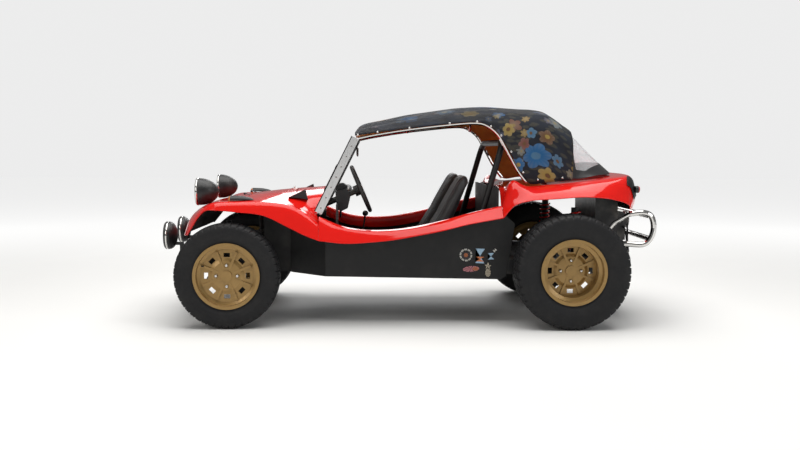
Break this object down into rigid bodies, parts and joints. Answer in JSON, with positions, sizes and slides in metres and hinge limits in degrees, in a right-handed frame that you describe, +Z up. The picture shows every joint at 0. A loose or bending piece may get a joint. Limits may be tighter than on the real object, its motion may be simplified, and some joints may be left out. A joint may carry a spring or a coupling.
{
  "type": "dune buggy",
  "caption": "Open two-seat dune buggy with a moulded glossy body, cloth soft top, exposed rear engine, tube bumpers and wide all-terrain tyres; the wheels roll and steer and the hood opens.",
  "frame": {"origin": "centre of the bounding box on the floor", "axes": "+X forwards, along the car's length; +Y to the car's left; +Z up"},
  "size_m": [3.202, 1.6956, 1.3889],
  "materials": {
    "paint_red": "gloss gelcoat",
    "panel_black": "satin",
    "chassis_black": "satin",
    "wheel_gold": "satin metallic",
    "tyre": "matt",
    "chrome": "polished",
    "aluminium": "brushed",
    "glass": "clear",
    "clear_vinyl": "clear",
    "canvas": "printed canvas",
    "seat_vinyl": "grained vinyl",
    "plastic_black": "satin",
    "engine_alloy": "cast",
    "lens_red": "clear red"
  },
  "bodies": {
    "car": {"front_body": "paint_red", "sills": "paint_red", "rear_body": "paint_red", "side_panels": "panel_black", "inner_tub": "panel_black", "floor_pan": "panel_black", "front_axle_beam": "chassis_black", "steering_column": "chassis_black", "rear_torsion_tube": "chassis_black", "shock_absorbers": "chassis_black", "roll_bar": "chassis_black", "gearbox": "engine_alloy", "engine": "engine_alloy", "front_bumper": "chrome", "rear_bumper": "chrome", "top_frame": "chrome", "exhaust": "chrome", "windshield_frame": "aluminium", "windshield_glass": "glass", "rear_window": "clear_vinyl", "soft_top": "canvas", "seat_left": "seat_vinyl", "seat_right": "seat_vinyl", "dashboard": "plastic_black", "wipers": "plastic_black", "gear_lever": "plastic_black", "cowl_scoops": "plastic_black", "headlights": "plastic_black", "fog_lamps": "plastic_black", "turn_signals": "plastic_black", "tail_lights": "lens_red"},
    "hood": {"hood": "paint_red"},
    "knuckle_left": {"knuckle_left": "chassis_black"},
    "knuckle_right": {"knuckle_right": "chassis_black"},
    "wheel_front_left": {"rim_front_left": "wheel_gold", "tyre_front_left": "tyre"},
    "wheel_front_right": {"rim_front_right": "wheel_gold", "tyre_front_right": "tyre"},
    "wheel_rear_left": {"rim_rear_left": "wheel_gold", "tyre_rear_left": "tyre"},
    "wheel_rear_right": {"rim_rear_right": "wheel_gold", "tyre_rear_right": "tyre"},
    "steering_wheel": {"steering_wheel": "plastic_black"},
    "pitman_arm": {"pitman_arm": "chassis_black"},
    "tie_rods": {"tie_rods": "chassis_black"}
  },
  "joints": [
    {"name": "steer_left", "type": "hinge", "parent": "car", "child": "knuckle_left", "pos_m": [1.137, 0.5355, 0.325], "axis": [0, 0, 1], "range_deg": [-28, 28]},
    {"name": "steer_right", "type": "hinge", "parent": "car", "child": "knuckle_right", "pos_m": [1.137, -0.5355, 0.325], "axis": [0, 0, 1], "range_deg": [-29, 29]},
    {"name": "pitman_turn", "type": "hinge", "parent": "car", "child": "pitman_arm", "pos_m": [1.137, 0.3, 0.325], "axis": [0, 0, 1], "range_deg": [-29, 29]},
    {"name": "tie_rod_pivot", "type": "hinge", "parent": "knuckle_left", "child": "tie_rods", "pos_m": [1.027, 0.5355, 0.325], "axis": [0, 0, 1], "range_deg": [-29, 29]},
    {"name": "steering_wheel_turn", "type": "hinge", "parent": "car", "child": "steering_wheel", "pos_m": [0.316, 0.32, 0.845], "axis": [-0.9191, 0, 0.3939], "range_deg": [-425, 425]},
    {"name": "spin_front_left", "type": "hinge", "parent": "knuckle_left", "child": "wheel_front_left", "pos_m": [1.137, 0.6595, 0.325], "axis": [0, 1, 0], "continuous": true},
    {"name": "spin_front_right", "type": "hinge", "parent": "knuckle_right", "child": "wheel_front_right", "pos_m": [1.137, -0.6595, 0.325], "axis": [0, 1, 0], "continuous": true},
    {"name": "spin_rear_left", "type": "hinge", "parent": "car", "child": "wheel_rear_left", "pos_m": [-0.985, 0.7205, 0.355], "axis": [0, 1, 0], "continuous": true},
    {"name": "spin_rear_right", "type": "hinge", "parent": "car", "child": "wheel_rear_right", "pos_m": [-0.985, -0.7205, 0.355], "axis": [0, 1, 0], "continuous": true},
    {"name": "hood_open", "type": "hinge", "parent": "car", "child": "hood", "pos_m": [1.084, 0, 0.806], "axis": [0, 1, 0], "range_deg": [0, 75]}
  ],
  "couplings": [
    {"joint": "steer_right", "follows": "steer_left", "ratio": 1},
    {"joint": "pitman_turn", "follows": "steer_left", "ratio": 1},
    {"joint": "tie_rod_pivot", "follows": "steer_left", "ratio": -1},
    {"joint": "steering_wheel_turn", "follows": "steer_left", "ratio": 15}
  ]
}
